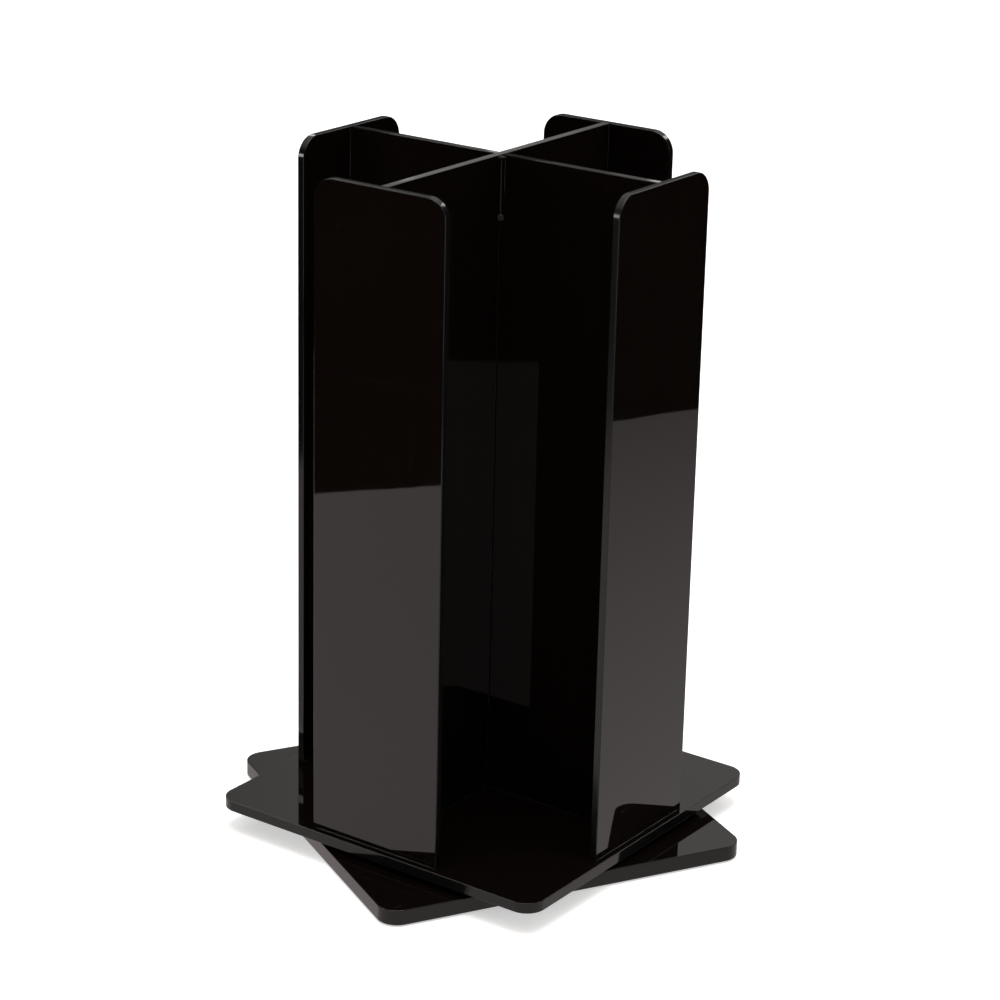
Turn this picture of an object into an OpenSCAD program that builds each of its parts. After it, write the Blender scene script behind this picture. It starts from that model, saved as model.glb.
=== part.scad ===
// Rotating four-bay organiser for stacked cups and lids.
// Gloss acrylic sheets on a low ball-bearing turntable. Millimetres, +Z up,
// origin on the spin axis at the surface that the feet stand on.
// The dividers lie along X and Y, so each bay is one quadrant.

/* [Plates] */
// Side of the square base plate
base_side = 228.6; // [200:0.1:260]
// Thickness of the base plate
base_t = 9.3; // [6:0.05:10]
// Angle of the base plate against the turntable at rest
base_skew = -29; // [-45:1:45]
// Side of the square turntable plate
table_side = 228.6; // [225:0.1:260]
// Thickness of the turntable plate
table_t = 6.35; // [6:0.05:10]
// Radius of the plates' corners
plate_r = 12; // [4:0.5:25]
// Open gap between the two plates
plate_gap = 3.25; // [2.4:0.05:3.4]

/* [Dividers and end panels] */
// Height of the dividers and end panels above the turntable plate
panel_h = 387; // [150:1:450]
// Width of each end panel
panel_w = 89; // [50:1:120]
// Thickness of the end panels
panel_t = 4.5; // [3:0.5:6]
// Distance from the spin axis to an end panel's outer face
panel_d = 110; // [100:0.5:112]
// Radius of an end panel's top corners
panel_r = 12.7; // [3:0.1:24]
// Thickness of the two dividers
divider_t = 4.5; // [3:0.5:6]
// Depth of the short slot in the top of the left-right divider, down to its relief
slot_top = 34.4; // [20:0.2:140]
// Play on each side of a divider in the other one's slot
slot_play = 0.4; // [0.1:0.05:0.8]
// Side of the square relief at the end of the short slot
relief = 3.6; // [2:0.1:5]

/* [Bearing] */
// Radius of the two steel bearing plates
bearing_r = 48; // [44:0.5:60]
// Thickness of each steel bearing plate
bearing_t = 1.5; // [1.2:0.1:1.8]
// Depth of the round recess that each acrylic plate has for the bearing
recess = 2.2; // [2.2:0.1:2.6]
// Radius of the ball circle
ball_circle_r = 30; // [24:0.5:32]
// Diameter of the bearing balls
ball_d = 5; // [4.8:0.1:5.2]
// Number of bearing balls
ball_n = 16; // [8:1:20]
// Radius of the rivet's shank, which is the spindle
spindle_r = 6; // [4:0.5:8]
// Radius of the circle that the bearing screws lie on
screw_circle_r = 41; // [40.5:0.1:41.4]

/* [Feet] */
// Height of the rubber feet
foot_h = 1; // [0.8:0.1:4]
// Radius of the rubber feet
foot_r = 7; // [4:0.5:10]
// Distance of each foot from the base plate's two edges
foot_in = 18; // [12:0.5:30]

/* [Hidden] */

z_base = foot_h;                      // underside of the base plate
z_base_top = z_base + base_t;
z_table = z_base_top + plate_gap;     // underside of the turntable plate
z_table_top = z_table + table_t;
z_low = z_base_top - recess;          // floor of the base plate's recess
z_up = z_table + recess;              // ceiling of the turntable's recess
z_ball = (z_low + z_up) / 2;          // height of the ball centres
groove_r = ball_d / 2 + 0.05;         // radius of the ball grooves
recess_r = bearing_r + 0.3;
rivet_head_r = spindle_r + 3;
rivet_hole_r = rivet_head_r + 1;
rivet_play = 0.1;                     // end play of the upper plate on the rivet
screw_r = 1.5;
screw_head_r = 2.8;
access_r = 4;
access_a = 0;                         // direction of the driver hole
inner_d = panel_d - panel_t;          // inner faces of the end panels
slot_w = divider_t + 2 * slot_play;

black = [0.02, 0.02, 0.022];
steel = [0.72, 0.73, 0.74];

// Square sheet with four true round corners
module sheet(side, t, r) {
    cube([side - 2 * r, side, t], center = true);
    cube([side, side - 2 * r, t], center = true);
    for (x = [-1, 1], y = [-1, 1])
        translate([x * (side / 2 - r), y * (side / 2 - r), 0])
            cylinder(r = r, h = t, center = true, $fn = 96);
}

// Four copies on a circle, the first at angle a
module four(r, a) {
    for (i = [0:3]) rotate([0, 0, a + 90 * i]) translate([r, 0, 0]) children();
}

// Cross-shaped drive recess, cut downwards from z = 0
module drive() {
    for (a = [0, 90]) rotate([0, 0, a])
        translate([-1.3, -0.3, -0.7]) cube([2.6, 0.6, 1.4]);
}

// Annular groove for the balls
module ball_groove() {
    translate([0, 0, z_ball]) rotate_extrude($fn = 128)
        translate([ball_circle_r, 0]) circle(r = groove_r, $fn = 64);
}

module base_plate() {
    color(black) rotate([0, 0, base_skew]) difference() {
        translate([0, 0, z_base + base_t / 2]) sheet(base_side, base_t, plate_r);
        // recess that centres the bearing
        translate([0, 0, z_low]) cylinder(r = recess_r, h = base_t, $fn = 128);
        // room for the rivet's lower head
        translate([0, 0, z_base - 1]) cylinder(r = rivet_hole_r, h = base_t + 2, $fn = 96);
        // countersunk screw holes from below
        four(screw_circle_r, 45) {
            translate([0, 0, z_base - 1]) cylinder(r = screw_r + 0.2, h = base_t + 2, $fn = 48);
            translate([0, 0, z_base - 0.01])
                cylinder(r1 = screw_head_r + 0.06, r2 = screw_r + 0.06, h = 1.31, $fn = 48);
        }
        // hole that lets a driver reach the upper screws
        rotate([0, 0, access_a]) translate([screw_circle_r, 0, z_base - 1])
            cylinder(r = access_r + 0.5, h = base_t + 2, $fn = 64);
    }
}

// Thin round foot with a rounded lower edge, glued under the base plate
module foot(sx, sy) {
    e = min(0.5, foot_h / 3);
    rotate([0, 0, base_skew])
        translate([sx * (base_side / 2 - foot_in), sy * (base_side / 2 - foot_in), 0])
            rotate_extrude($fn = 96) polygon([[0, 0], [foot_r - e, 0],
                for (a = [15:15:75]) [foot_r - e + e * sin(a), e - e * cos(a)],
                [foot_r, e], [foot_r, foot_h], [0, foot_h]]);
}
module left_foot() { color([0.07, 0.07, 0.07]) foot(-1, -1); }
module front_foot() { color([0.07, 0.07, 0.07]) foot(1, -1); }
module right_foot() { color([0.07, 0.07, 0.07]) foot(1, 1); }
module rear_foot() { color([0.07, 0.07, 0.07]) foot(-1, 1); }

module bearing_lower_plate() {
    color(steel) rotate([0, 0, base_skew]) difference() {
        translate([0, 0, z_low]) cylinder(r = bearing_r, h = bearing_t, $fn = 128);
        translate([0, 0, z_low - 1]) cylinder(r = spindle_r, h = bearing_t + 2, $fn = 96);
        ball_groove();
        four(screw_circle_r, 45) translate([0, 0, z_low - 1])
            cylinder(r = screw_r + 0.05, h = bearing_t + 2, $fn = 48);
        rotate([0, 0, access_a]) translate([screw_circle_r, 0, z_low - 1])
            cylinder(r = access_r, h = bearing_t + 2, $fn = 64);
    }
}

// Hollow rivet: lower head, seat in the lower plate, spacing shoulder,
// spindle through the upper plate, upper head
module bearing_rivet() {
    z1 = z_low + bearing_t;
    z2 = z_up - bearing_t - rivet_play;
    z3 = z_up + rivet_play;
    color([0.78, 0.78, 0.76]) rotate_extrude($fn = 128) polygon([
        [spindle_r - 2, z_low - 0.8], [rivet_head_r - 0.3, z_low - 0.8],
        [rivet_head_r, z_low - 0.5], [rivet_head_r, z_low],
        [spindle_r, z_low], [spindle_r, z1],
        [spindle_r + 1.6, z1], [spindle_r + 1.6, z2],
        [spindle_r, z2], [spindle_r, z3],
        [rivet_head_r, z3], [rivet_head_r, z3 + 0.5],
        [rivet_head_r - 0.3, z3 + 0.8], [spindle_r - 2, z3 + 0.8]]);
}

// Countersunk screws, heads flush with the base plate's underside
module lower_screws() {
    color(steel) rotate([0, 0, base_skew]) four(screw_circle_r, 45) difference() {
        union() {
            translate([0, 0, z_base + 0.02])
                cylinder(r1 = screw_head_r, r2 = screw_r, h = 1.3, $fn = 48);
            translate([0, 0, z_base + 0.5])
                cylinder(r = screw_r, h = z_low + bearing_t - 0.1 - z_base - 0.5, $fn = 48);
        }
        translate([0, 0, z_base]) rotate([180, 0, 0]) drive();
    }
}

module bearing_balls() {
    color([0.8, 0.8, 0.82]) for (i = [0:ball_n - 1])
        rotate([0, 0, i * 360 / ball_n]) translate([ball_circle_r, 0, z_ball])
            sphere(d = ball_d, $fn = 48);
}

module bearing_cage() {
    color([0.85, 0.83, 0.76]) difference() {
        translate([0, 0, z_ball - 0.8]) cylinder(r = ball_circle_r + 5, h = 1.6, $fn = 128);
        translate([0, 0, z_ball - 2]) cylinder(r = ball_circle_r - 5, h = 4, $fn = 128);
        for (i = [0:ball_n - 1]) rotate([0, 0, i * 360 / ball_n])
            translate([ball_circle_r, 0, z_ball - 2])
                cylinder(r = ball_d / 2 + 0.08, h = 4, $fn = 48);
    }
}

module bearing_upper_plate() {
    color(steel) difference() {
        translate([0, 0, z_up - bearing_t]) cylinder(r = bearing_r, h = bearing_t, $fn = 128);
        translate([0, 0, z_up - bearing_t - 1])
            cylinder(r = spindle_r + 0.05, h = bearing_t + 2, $fn = 96);
        ball_groove();
        four(screw_circle_r, 0) translate([0, 0, z_up - bearing_t - 1])
            cylinder(r = screw_r + 0.2, h = bearing_t + 2, $fn = 48);
    }
}

// Pan-head screws that hang the turntable plate on the upper bearing plate
module upper_screws() {
    zh = z_up - bearing_t;
    color(steel) four(screw_circle_r, 0) difference() {
        union() {
            translate([0, 0, zh - 1.1]) cylinder(r = screw_head_r, h = 1.1, $fn = 48);
            translate([0, 0, zh - 1.5])
                cylinder(r1 = screw_head_r - 0.7, r2 = screw_head_r, h = 0.4, $fn = 48);
            translate([0, 0, zh - 0.5])
                cylinder(r = screw_r, h = z_table_top - 1.4 - zh + 0.5, $fn = 48);
        }
        translate([0, 0, zh - 1.5]) rotate([180, 0, 0]) drive();
    }
}

module turntable_plate() {
    color(black) difference() {
        translate([0, 0, z_table + table_t / 2]) sheet(table_side, table_t, plate_r);
        translate([0, 0, z_up - table_t]) cylinder(r = recess_r, h = table_t, $fn = 128);
        // room for the rivet's upper head
        translate([0, 0, z_table - 1])
            cylinder(r = rivet_hole_r, h = recess + 1 + rivet_play + 1.2, $fn = 96);
        // blind screw holes
        four(screw_circle_r, 0) translate([0, 0, z_table - 1])
            cylinder(r = screw_r + 0.05, h = table_t - 1.2 + 1, $fn = 48);
    }
}

// Divider that runs front to back, slotted from below
module front_back_divider() {
    color(black) difference() {
        translate([-divider_t / 2, -inner_d, z_table_top])
            cube([divider_t, 2 * inner_d, panel_h]);
        translate([-divider_t, -slot_w / 2, z_table_top - 1])
            cube([2 * divider_t, slot_w, panel_h - slot_top + 1 - relief]);
    }
}

// Divider that runs left to right, with a short slot from the top
module left_right_divider() {
    z_slot = z_table_top + panel_h - slot_top;
    color(black) difference() {
        translate([-inner_d, -divider_t / 2, z_table_top])
            cube([2 * inner_d, divider_t, panel_h]);
        translate([-slot_w / 2, -divider_t, z_slot])
            cube([slot_w, 2 * divider_t, slot_top + 1]);
        // square relief at each lower corner of the slot
        translate([-slot_w / 2 - relief / 2, -divider_t, z_slot - relief])
            cube([slot_w + relief, 2 * divider_t, relief]);
    }
}

// Upright sheet with rounded top corners, outer face towards -Y
module end_panel() {
    r = panel_r;
    translate([0, -panel_d, z_table_top]) {
        translate([-panel_w / 2, 0, 0]) cube([panel_w, panel_t, panel_h - r]);
        translate([-panel_w / 2 + r, 0, 0]) cube([panel_w - 2 * r, panel_t, panel_h]);
        for (s = [-1, 1])
            translate([s * (panel_w / 2 - r), 0, panel_h - r]) rotate([-90, 0, 0])
                cylinder(r = r, h = panel_t, $fn = 96);
    }
}
module front_panel() { color(black) end_panel(); }
module right_panel() { color(black) rotate([0, 0, 90]) end_panel(); }
module rear_panel() { color(black) rotate([0, 0, 180]) end_panel(); }
module left_panel() { color(black) rotate([0, 0, 270]) end_panel(); }

base_plate();
left_foot();
front_foot();
right_foot();
rear_foot();
bearing_lower_plate();
bearing_rivet();
lower_screws();
bearing_balls();
bearing_cage();
bearing_upper_plate();
upper_screws();
turntable_plate();
front_back_divider();
left_right_divider();
front_panel();
right_panel();
rear_panel();
left_panel();
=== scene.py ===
import math

import bmesh
import bpy
from mathutils import Matrix, Vector, noise


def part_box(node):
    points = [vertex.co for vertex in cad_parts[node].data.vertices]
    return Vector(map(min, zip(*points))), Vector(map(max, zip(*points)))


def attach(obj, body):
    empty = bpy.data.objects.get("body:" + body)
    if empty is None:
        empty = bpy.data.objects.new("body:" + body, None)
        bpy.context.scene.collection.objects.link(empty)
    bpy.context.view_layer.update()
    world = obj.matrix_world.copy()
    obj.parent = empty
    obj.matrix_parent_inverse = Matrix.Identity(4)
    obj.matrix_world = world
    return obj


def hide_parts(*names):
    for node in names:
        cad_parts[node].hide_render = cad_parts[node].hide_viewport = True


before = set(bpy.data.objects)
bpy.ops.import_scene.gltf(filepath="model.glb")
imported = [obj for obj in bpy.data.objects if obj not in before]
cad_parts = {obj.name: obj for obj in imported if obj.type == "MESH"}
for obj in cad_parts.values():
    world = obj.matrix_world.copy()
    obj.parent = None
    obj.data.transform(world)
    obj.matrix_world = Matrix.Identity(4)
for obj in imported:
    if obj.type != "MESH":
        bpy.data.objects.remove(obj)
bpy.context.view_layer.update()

scene = bpy.context.scene
MM = 0.001

# ---------------------------------------------------------------- sizes, from the frame


def centre(node):
    lo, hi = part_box(node)
    return (lo + hi) / 2


def levels(node, axis):
    """Distinct coordinates of a CAD node's corners along one axis, lowest first."""
    found = []
    for v in sorted(v.co[axis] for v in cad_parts[node].data.vertices):
        if not found or v - found[-1] > 2e-5:
            found.append(v)
    return found


t_lo, t_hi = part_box("turntable_plate")
b_lo, b_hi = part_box("base_plate")
SIDE = t_hi.x - t_lo.x
PLATE_R = 12 * MM
Z_B0, Z_B1 = b_lo.z, b_hi.z
Z_T0, Z_T1 = t_lo.z, t_hi.z
foot_c = centre("right_foot")
SKEW = math.atan2(foot_c.y, foot_c.x) - math.pi / 4      # the base's rest angle
RECESS = 2.2 * MM
RECESS_R = 48.3 * MM
HEAD_HOLE_R = 10 * MM
SCREW_C = 41 * MM
Z_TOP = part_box("front_panel")[1].z

# ---------------------------------------------------------------- mesh tools


def new_object(name, bm, materials):
    mesh = bpy.data.meshes.new(name)
    bm.normal_update()
    bm.to_mesh(mesh)
    bm.free()
    for m in materials:
        mesh.materials.append(m)
    ob = bpy.data.objects.new(name, mesh)
    scene.collection.objects.link(ob)
    return ob


def smooth_sheet(ob, angle=35):
    """Smooth arrises with flat faces kept flat."""
    for p in ob.data.polygons:
        p.use_smooth = True
    w = ob.modifiers.new("weighted", "WEIGHTED_NORMAL")
    w.mode = "FACE_AREA"
    w.weight = 100
    w.keep_sharp = True
    return ob


def offset_loop(pts, d):
    """An anticlockwise loop moved inwards by d (outwards if d is negative)."""
    out, n = [], len(pts)
    for i in range(n):
        p0, p1, p2 = (Vector(pts[i - 1]), Vector(pts[i]), Vector(pts[(i + 1) % n]))
        e1, e2 = (p1 - p0).normalized(), (p2 - p1).normalized()
        n1, n2 = Vector((-e1.y, e1.x)), Vector((-e2.y, e2.x))
        m = (n1 + n2) / (1 + n1.dot(n2))
        out.append(p1 + m * d)
    return out


def circle(r, n, c=(0, 0), a0=0.0):
    return [Vector((c[0] + r * math.cos(a0 + 2 * math.pi * i / n),
                    c[1] + r * math.sin(a0 + 2 * math.pi * i / n))) for i in range(n)]


def rounded_square(side, r, n=20, turn=0.0):
    pts = []
    h = side / 2 - r
    for k, (sx, sy) in enumerate([(1, -1), (1, 1), (-1, 1), (-1, -1)]):
        a = -math.pi / 2 + k * math.pi / 2
        for i in range(n + 1):
            t = a + math.pi / 2 * i / n
            pts.append(Vector((sx * h + r * math.cos(t), sy * h + r * math.sin(t))))
    # more points along the straight sides keep the long faces well shaped
    pts = subdivide(pts, side / 8)
    c, s = math.cos(turn), math.sin(turn)
    return [Vector((c * p.x - s * p.y, s * p.x + c * p.y)) for p in pts]


def subdivide(pts, step):
    out = []
    for i, p in enumerate(pts):
        q = pts[(i + 1) % len(pts)]
        k = max(1, int(round((q - p).length / step)))
        for j in range(k):
            out.append(p + (q - p) * j / k)
    return out


class Build:
    """Rings of points joined by walls and closed by flat caps. place(u, v, h) gives the point in the row frame."""

    def __init__(self, place=lambda u, v, h: Vector((u, v, h))):
        self.bm = bmesh.new()
        self.uv = self.bm.loops.layers.uv.new("UVMap")
        self.place = place
        self.where = {}

    def ring(self, pts, h):
        vs = []
        for p in pts:
            v = self.bm.verts.new(self.place(p[0], p[1], h))
            self.where[v] = (p[0], p[1])
            vs.append(v)
        return vs

    def wall(self, a, b, mat=1, t0=0.0, t1=0.001):
        n, s = len(a), 0.0
        for i in range(n):
            j = (i + 1) % n
            d = max((a[j].co - a[i].co).length, (b[j].co - b[i].co).length)
            try:
                f = self.bm.faces.new((a[i], a[j], b[j], b[i]))
            except ValueError:
                s += d
                continue
            f.material_index = mat
            for loop, uv in zip(f.loops, ((s, t0), (s + d, t0), (s + d, t1), (s, t1))):
                loop[self.uv].uv = (uv[0] * 10, uv[1] * 10)
            s += d

    def walls(self, rings, mat=1):
        t = 0.0
        for a, b in zip(rings, rings[1:]):
            d = (a[0].co - b[0].co).length
            self.wall(a, b, mat, t, t + d)
            t += d

    def cap(self, rings, mat=0):
        edges = []
        for r in rings:
            for i, v in enumerate(r):
                w = r[(i + 1) % len(r)]
                edges.append(self.bm.edges.get((v, w)) or self.bm.edges.new((v, w)))
        made = bmesh.ops.triangle_fill(self.bm, edges=edges, use_beauty=True)
        for f in made["geom"]:
            if isinstance(f, bmesh.types.BMFace):
                f.material_index = mat
                for loop in f.loops:
                    u, v = self.where[loop.vert]
                    loop[self.uv].uv = (u * 10, v * 10)

    def arris(self, pts, h0, h1, c, hole=False, n=3):
        """Rings up one boundary from h0 to h1, with both arrises rounded to c."""
        sign = -1 if hole else 1
        rings = []
        for k in range(n + 1):
            a = math.pi / 2 * k / n
            rings.append(self.ring(offset_loop(pts, sign * c * (1 - math.sin(a))), h0 + c * (1 - math.cos(a))))
        for k in range(n + 1):
            a = math.pi / 2 * (1 - k / n)
            rings.append(self.ring(offset_loop(pts, sign * c * (1 - math.sin(a))), h1 - c * (1 - math.cos(a))))
        return rings

    def finish(self, name, materials):
        bmesh.ops.remove_doubles(self.bm, verts=self.bm.verts, dist=2e-6)
        bmesh.ops.recalc_face_normals(self.bm, faces=self.bm.faces)
        return new_object(name, self.bm, materials)


def prism(name, pts, h0, h1, place, materials, c=0.3 * MM, holes=(), hole_c=None, n=3):
    b = Build(place)
    outer = b.arris(pts, h0, h1, c, n=n)
    b.walls(outer)
    low, high = [outer[0]], [outer[-1]]
    for h in holes:
        rings = b.arris(h, h0, h1, hole_c or c, hole=True, n=n)
        b.walls(rings)
        low.append(rings[0])
        high.append(rings[-1])
    b.cap(low)
    b.cap(high)
    return b.finish(name, materials)


def lathe(profile, n, b, mat=0, c=(0, 0), close=True):
    """Turns a closed profile of (radius, height) points into the build b."""
    rings = [b.ring(circle(max(r, 1e-6), n, c), h) for r, h in profile]
    b.walls(rings, mat)
    if close:
        b.wall(rings[-1], rings[0], mat)
    return rings


# ---------------------------------------------------------------- materials


class Nodes:
    """Short hand for a material's node tree."""

    def __init__(self, name):
        self.mat = bpy.data.materials.new(name)
        self.mat.use_nodes = True
        self.nt = self.mat.node_tree
        self.nt.nodes.clear()
        self.out = self.add("ShaderNodeOutputMaterial")
        self.bsdf = self.add("ShaderNodeBsdfPrincipled")
        self.link(self.bsdf.outputs[0], self.out.inputs[0])

    def add(self, kind, **props):
        n = self.nt.nodes.new(kind)
        for k, v in props.items():
            setattr(n, k, v)
        return n

    def link(self, a, b):
        self.nt.links.new(a, b)

    def coords(self, which="Object", scale=(1, 1, 1), rot=(0, 0, 0)):
        tc = self.add("ShaderNodeTexCoord")
        mp = self.add("ShaderNodeMapping")
        mp.inputs["Scale"].default_value = scale
        mp.inputs["Rotation"].default_value = rot
        self.link(tc.outputs[which], mp.inputs["Vector"])
        return mp.outputs[0]

    def noise(self, vector, scale, detail=2.0, rough=0.5, distortion=0.0, dims="3D"):
        n = self.add("ShaderNodeTexNoise", noise_dimensions=dims)
        n.inputs["Scale"].default_value = scale
        n.inputs["Detail"].default_value = detail
        n.inputs["Roughness"].default_value = rough
        n.inputs["Distortion"].default_value = distortion
        self.link(vector, n.inputs["Vector"])
        return n.outputs["Fac"]

    def voronoi(self, vector, scale):
        n = self.add("ShaderNodeTexVoronoi", voronoi_dimensions="3D", feature="F1")
        n.inputs["Scale"].default_value = scale
        self.link(vector, n.inputs["Vector"])
        return n.outputs["Distance"], n.outputs["Color"]

    def math(self, op, a, b=None, c=None, clamp=False):
        n = self.add("ShaderNodeMath", operation=op, use_clamp=clamp)
        for i, x in enumerate((a, b, c)):
            if x is None:
                continue
            if isinstance(x, (int, float)):
                n.inputs[i].default_value = x
            else:
                self.link(x, n.inputs[i])
        return n.outputs[0]

    def remap(self, x, a, b, c, d, clamp=True):
        n = self.add("ShaderNodeMapRange", clamp=clamp)
        self.link(x, n.inputs[0])
        for i, v in zip((1, 2, 3, 4), (a, b, c, d)):
            if isinstance(v, (int, float)):
                n.inputs[i].default_value = v
            else:
                self.link(v, n.inputs[i])
        return n.outputs[0]

    def mix(self, fac, a, b):
        n = self.add("ShaderNodeMix", data_type="RGBA")
        self.link(fac, n.inputs[0])
        for i, x in ((6, a), (7, b)):
            if isinstance(x, tuple):
                n.inputs[i].default_value = (*x, 1)
            else:
                self.link(x, n.inputs[i])
        return n.outputs[2]

    def split(self, colour):
        n = self.add("ShaderNodeSeparateColor")
        self.link(colour, n.inputs[0])
        return n.outputs

    def bump(self, height, strength, distance, normal=None):
        n = self.add("ShaderNodeBump")
        n.inputs["Strength"].default_value = strength
        n.inputs["Distance"].default_value = distance
        self.link(height, n.inputs["Height"])
        if normal is not None:
            self.link(normal, n.inputs["Normal"])
        return n.outputs[0]

    def set(self, **values):
        for k, v in values.items():
            s = self.bsdf.inputs[k.replace("_", " ")]
            if isinstance(v, (int, float)):
                s.default_value = v
            elif isinstance(v, tuple):
                s.default_value = (*v, 1)
            else:
                self.link(v, s)


BLACK = (0.0032, 0.0019, 0.0014)


def specks(k, vec, scale, keep, small, big):
    """Sparse round specks: 1 inside one, 0 outside."""
    dist, colour = k.voronoi(vec, scale)
    r, g, _ = k.split(colour)[:3]
    size = k.remap(g, 0, 1, small, big)
    inside = k.math("LESS_THAN", dist, size)
    chosen = k.math("GREATER_THAN", r, keep)
    return k.math("MULTIPLY", inside, chosen)


def scratches(k, vec, width, keep):
    """Hair lines, long along the first axis of vec and broken up."""
    f = k.noise(vec, 1.0, 0.0, 0.5)
    line = k.math("LESS_THAN", k.math("ABSOLUTE", k.math("SUBTRACT", f, 0.5)), width)
    gate = k.math("GREATER_THAN", k.noise(vec, 0.37, 1.0, 0.5), keep)
    return k.math("MULTIPLY", line, gate)


def acrylic_face():
    k = Nodes("acrylic_face")
    obj = k.coords("Object")
    uv = k.coords("UV", (1, 1, 1))
    dust = specks(k, obj, 110, 0.82, 0.012, 0.034)
    fine = specks(k, obj, 420, 0.86, 0.01, 0.05)
    up = k.split_normal_z()
    lying = k.remap(up, 0.5, 0.9, 0.25, 1.0)
    dust = k.math("MULTIPLY", k.math("MAXIMUM", dust, k.math("MULTIPLY", fine, 0.4)), lying)
    smear = k.remap(k.noise(obj, 16, 6, 0.62, 0.6), 0.44, 0.72, 0.0, 1.0)
    wipe = k.remap(k.noise(k.coords("Object", (7, 7, 60), (0.5, 0.3, 0.2)), 2.0, 4, 0.6), 0.45, 0.75, 0.0, 1.0)
    s1 = scratches(k, k.coords("Object", (7, 7, 330), (0.35, 0.2, 0.6)), 0.0006, 0.60)
    s2 = scratches(k, k.coords("Object", (360, 9, 9), (0.1, 0.7, 0.35)), 0.0006, 0.62)
    hair = k.math("MAXIMUM", s1, s2)
    film = k.math("ADD", k.math("MULTIPLY", smear, 0.5), k.math("MULTIPLY", wipe, 0.3))
    colour = k.mix(k.math("MULTIPLY", film, 0.3), BLACK, (0.0056, 0.0042, 0.0036))
    colour = k.mix(k.math("MULTIPLY", dust, 0.85), colour, (0.20, 0.19, 0.18))
    colour = k.mix(k.math("MULTIPLY", hair, 0.12), colour, (0.05, 0.05, 0.05))
    rough = k.math("ADD", 0.018, k.math("MULTIPLY", film, 0.035))
    rough = k.math("ADD", rough, k.math("MULTIPLY", hair, 0.05))
    rough = k.math("ADD", rough, k.math("MULTIPLY", dust, 0.5), clamp=True)
    wave = k.bump(k.noise(obj, 13, 2.0, 0.45), 1.0, 0.00005)
    normal = k.bump(k.math("ADD", k.math("MULTIPLY", hair, -1.0), k.math("MULTIPLY", dust, 2.0)), 0.35, 0.00002, wave)
    k.set(Base_Color=colour, Roughness=rough, Normal=normal, IOR=1.49)
    return k.mat


def split_normal_z(self):
    g = self.add("ShaderNodeNewGeometry")
    s = self.add("ShaderNodeSeparateXYZ")
    self.link(g.outputs["Normal"], s.inputs[0])
    return s.outputs[2]


Nodes.split_normal_z = split_normal_z


def acrylic_edge(name="acrylic_edge", rough0=0.05, rough1=0.13, tint=0.0034, depth=0.000003):
    """Sawn and flame-polished edge: fine marks across the sheet's thickness."""
    k = Nodes(name)
    obj = k.coords("Object")
    marks = k.noise(k.coords("UV", (260, 14, 1)), 1.0, 3.0, 0.65)
    coarse = k.noise(k.coords("UV", (22, 3, 1)), 1.0, 2.0, 0.5)
    dust = specks(k, obj, 360, 0.82, 0.01, 0.06)
    c = k.mix(k.remap(marks, 0.35, 0.75, 0.0, 1.0), (tint * 0.8,) * 3, (tint * 1.3, tint * 1.25, tint * 1.2))
    c = k.mix(k.math("MULTIPLY", dust, 0.6), c, (0.16, 0.155, 0.15))
    r = k.remap(k.math("ADD", k.math("MULTIPLY", marks, 0.6), k.math("MULTIPLY", coarse, 0.4)), 0.3, 0.7, rough0, rough1)
    n1 = k.bump(marks, 0.5, depth)
    n2 = k.bump(coarse, 0.6, depth * 3, n1)
    k.set(Base_Color=c, Roughness=r, Normal=n2, IOR=1.49, Specular_IOR_Level=0.36)
    return k.mat


def acrylic_weld(name="acrylic_weld", body=(0.004, 0.0034, 0.003), haze=(0.03, 0.028, 0.026), r0=0.12, r1=0.26):
    """Set solvent cement: glossy, with tiny trapped bubbles."""
    k = Nodes(name)
    obj = k.coords("Object")
    bubbles = specks(k, obj, 900, 0.55, 0.08, 0.22)
    flow = k.noise(obj, 420, 3, 0.6)
    c = k.mix(k.remap(flow, 0.4, 0.65, 0.0, 0.35), body, haze)
    c = k.mix(k.math("MULTIPLY", bubbles, 0.5), c, haze)
    r = k.remap(flow, 0.3, 0.7, r0, r1)
    n = k.bump(k.math("SUBTRACT", flow, bubbles), 0.4, 0.00002)
    k.set(Base_Color=c, Roughness=r, Normal=n, IOR=1.46, Specular_IOR_Level=0.32)
    return k.mat


def steel(name, base, rough, ring_scale=0.0, mottled=0.5, grease=False):
    k = Nodes(name)
    obj = k.coords("Object")
    spangle = k.noise(obj, 260, 4, 0.6)
    blotch = k.noise(obj, 60, 3, 0.55, 0.4)
    c = k.mix(k.remap(blotch, 0.35, 0.7, 0.0, mottled), base, tuple(x * 0.72 for x in base))
    r = k.remap(spangle, 0.3, 0.7, rough * 0.75, rough * 1.3)
    height = spangle
    if ring_scale:
        s = k.add("ShaderNodeSeparateXYZ")
        k.link(obj, s.inputs[0])
        rad = k.math("SQRT", k.math("ADD", k.math("POWER", s.outputs[0], 2.0), k.math("POWER", s.outputs[1], 2.0)))
        rings = k.math("SINE", k.math("ADD", k.math("MULTIPLY", rad, ring_scale), k.math("MULTIPLY", blotch, 6.0)))
        height = k.math("ADD", k.math("MULTIPLY", rings, 0.5), spangle)
    if grease:
        film = k.remap(k.noise(obj, 340, 3, 0.6, 0.5), 0.48, 0.62, 0.0, 1.0)
        c = k.mix(k.math("MULTIPLY", film, 0.55), c, (0.32, 0.25, 0.12))
        r = k.math("ADD", r, k.math("MULTIPLY", film, 0.12))
    k.set(Base_Color=c, Roughness=r, Metallic=1.0, Normal=k.bump(height, 0.3, 0.00002))
    return k.mat


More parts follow.
